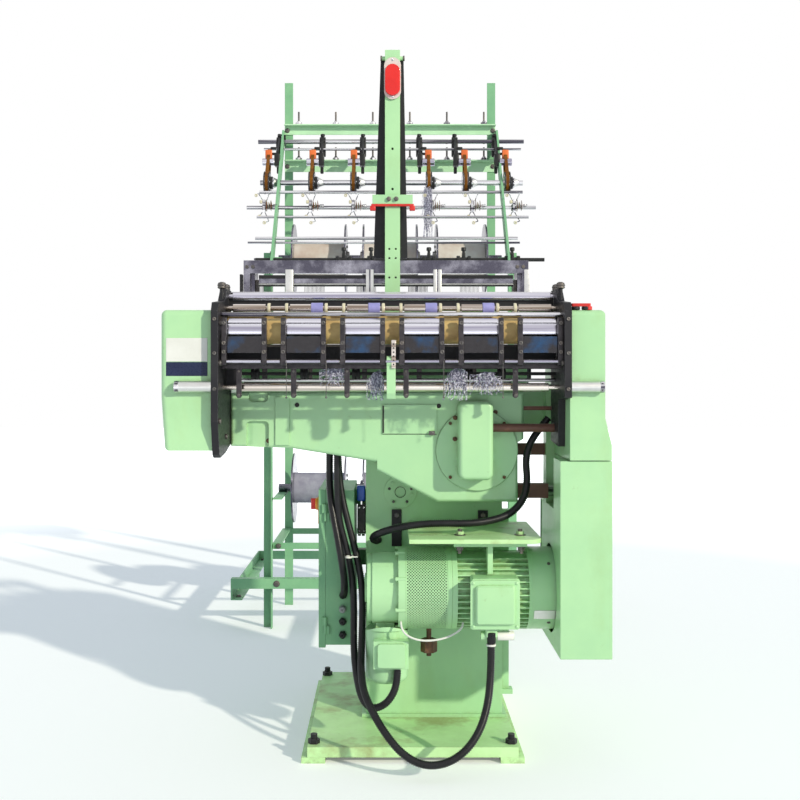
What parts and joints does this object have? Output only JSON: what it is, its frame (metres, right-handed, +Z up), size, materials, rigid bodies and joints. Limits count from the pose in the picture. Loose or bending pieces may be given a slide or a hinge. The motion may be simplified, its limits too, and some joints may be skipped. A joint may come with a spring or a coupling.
{
  "type": "power loom",
  "caption": "Six-head narrow-fabric needle loom on a pedestal with hung drive motor, take-up rollers, control cabinet and a leaning warp-beam stand behind.",
  "frame": {"origin": "middle of the floor rectangle that the loom and its stand cover", "axes": "+X to the weaver's right, +Y away from the weaver towards the warp stand, +Z up"},
  "size_m": [1.104, 2.2255, 2.039],
  "materials": {
    "green_paint": "satin pale green paint",
    "stand_paint": "darker green paint",
    "black_paint": "black paint",
    "bright_steel": "ground steel",
    "dark_steel": "oiled dark steel",
    "aluminium": "satin aluminium",
    "brown_primer": "red-brown primer",
    "white_plastic": "off-white cable sheath",
    "red_lens": "red lens",
    "red_plastic": "red moulded plastic",
    "black_plastic": "corrugated black plastic",
    "amber_belt": "amber flat belt",
    "black_rubber": "black belt",
    "blue_plastic": "blue cap on a grey body"
  },
  "bodies": {
    "frame": {"base_frame": "green_paint", "levelling_bolts": "black_paint", "column": "green_paint", "main_casting": "green_paint", "casting_covers": "green_paint", "side_plates": "black_paint", "end_cover_left": "green_paint", "end_cover_right": "green_paint", "hand_bars": "aluminium", "belt_guard": "green_paint", "drive_belt": "black_rubber", "tie_tubes": "brown_primer", "motor_plate": "green_paint", "motor_body": "green_paint", "fan_cover": "green_paint", "terminal_box": "green_paint", "clutch_cover": "green_paint", "gear_housing": "green_paint", "inching_motor": "green_paint", "roller_brackets": "black_paint", "front_rods": "bright_steel", "hanging_straps": "black_paint", "post": "green_paint", "cable_channel": "black_paint", "warning_lamp": "red_lens", "harness_frame": "dark_steel", "stand_posts": "stand_paint", "stand_legs": "stand_paint", "stand_rods": "bright_steel", "stand_rails": "stand_paint", "stand_cross_bars": "stand_paint", "tension_pins": "dark_steel", "feed_belts": "amber_belt", "feeder_brackets": "black_paint", "control_cabinet": "stand_paint", "oil_pump": "blue_plastic", "conduit_head": "black_plastic", "conduit_motor": "black_plastic", "conduit_inching": "black_plastic", "conduit_cabinet": "black_plastic", "motor_lead": "white_plastic"},
    "main_shaft": {"main_shaft": "bright_steel"},
    "motor_rotor": {"motor_rotor": "bright_steel"},
    "takeup": {"takeup_rollers": "bright_steel"},
    "nip": {"nip_rollers": "bright_steel"},
    "press": {"press_roller": "bright_steel"},
    "guide": {"guide_roller": "bright_steel"},
    "handle": {"start_handle": "red_plastic"},
    "stop": {"stop_lever": "green_paint"},
    "front_healds": {"front_healds": "dark_steel"},
    "rear_healds": {"rear_healds": "dark_steel"},
    "sley": {"sley": "dark_steel"},
    "weft": {"weft_needles": "bright_steel"},
    "needles": {"needle_shaft": "dark_steel"},
    "feeder": {"feed_shaft": "bright_steel"},
    "upper_beams": {"upper_warp_beams": "dark_steel"},
    "lower_beams": {"lower_warp_beams": "dark_steel"},
    "door": {"cabinet_door": "stand_paint"},
    "switch": {"main_switch": "red_plastic"},
    "screw": {"tension_screw": "black_paint"}
  },
  "joints": [
    {"name": "main_shaft_turn", "type": "hinge", "parent": "frame", "child": "main_shaft", "pos_m": [0, -0.87, 0.622], "axis": [1, 0, 0], "continuous": true},
    {"name": "motor_turn", "type": "hinge", "parent": "frame", "child": "motor_rotor", "pos_m": [0, -0.91, 0.394], "axis": [1, 0, 0], "continuous": true},
    {"name": "takeup_turn", "type": "hinge", "parent": "frame", "child": "takeup", "pos_m": [0, -1.03, 1.003], "axis": [1, 0, 0], "continuous": true},
    {"name": "nip_turn", "type": "hinge", "parent": "frame", "child": "nip", "pos_m": [0, -0.98, 1.058], "axis": [1, 0, 0], "continuous": true},
    {"name": "press_turn", "type": "hinge", "parent": "frame", "child": "press", "pos_m": [0, -0.94, 1.088], "axis": [1, 0, 0], "continuous": true},
    {"name": "guide_turn", "type": "hinge", "parent": "frame", "child": "guide", "pos_m": [0, -1.02, 0.875], "axis": [1, 0, 0], "continuous": true},
    {"name": "start_handle_turn", "type": "hinge", "parent": "frame", "child": "handle", "pos_m": [0.452, -1.06, 1.05], "axis": [0, 0, 1], "range_deg": [-20, 25]},
    {"name": "stop_lever_swing", "type": "hinge", "parent": "frame", "child": "stop", "pos_m": [0.007, -1.073, 0.933], "axis": [1, 0, 0], "range_deg": [-20, 15]},
    {"name": "front_heald_lift", "type": "slide", "parent": "frame", "child": "front_healds", "axis": [0, 0, 1], "range_m": [-0.018, 0.018]},
    {"name": "rear_heald_lift", "type": "slide", "parent": "frame", "child": "rear_healds", "axis": [0, 0, 1], "range_m": [-0.018, 0.018]},
    {"name": "sley_rock", "type": "hinge", "parent": "frame", "child": "sley", "pos_m": [0, -0.868, 0.885], "axis": [1, 0, 0], "range_deg": [-8, 8]},
    {"name": "weft_needle_stroke", "type": "slide", "parent": "frame", "child": "weft", "axis": [1, 0, 0], "range_m": [0, 0.04]},
    {"name": "needle_rock", "type": "hinge", "parent": "frame", "child": "needles", "pos_m": [0, -0.925, 0.985], "axis": [1, 0, 0], "range_deg": [-10, 10]},
    {"name": "feed_shaft_turn", "type": "hinge", "parent": "frame", "child": "feeder", "pos_m": [0, 0.54511, 1.618], "axis": [1, 0, 0], "continuous": true},
    {"name": "upper_beams_turn", "type": "hinge", "parent": "frame", "child": "upper_beams", "pos_m": [0, 0.565, 1.335], "axis": [1, 0, 0], "continuous": true},
    {"name": "lower_beams_turn", "type": "hinge", "parent": "frame", "child": "lower_beams", "pos_m": [0, 0.565, 0.475], "axis": [1, 0, 0], "continuous": true},
    {"name": "door_swing", "type": "hinge", "parent": "frame", "child": "door", "pos_m": [-0.1562, -0.8044, 0.42], "axis": [0, 0, 1], "range_deg": [0, 110]},
    {"name": "main_switch_turn", "type": "hinge", "parent": "door", "child": "switch", "pos_m": [-0.19, -0.726, 0.572], "axis": [1, 0, 0], "range_deg": [0, 90]},
    {"name": "tension_screw_turn", "type": "hinge", "parent": "frame", "child": "screw", "pos_m": [0.098, -0.91, 0.26], "axis": [0, 0, 1], "continuous": true}
  ],
  "couplings": [
    {"joint": "motor_turn", "follows": "main_shaft_turn", "ratio": 1.3636},
    {"joint": "feed_shaft_turn", "follows": "main_shaft_turn", "ratio": 0.42},
    {"joint": "nip_turn", "follows": "takeup_turn", "ratio": -2.857},
    {"joint": "press_turn", "follows": "takeup_turn", "ratio": 3},
    {"joint": "rear_heald_lift", "follows": "front_heald_lift", "ratio": -1}
  ]
}
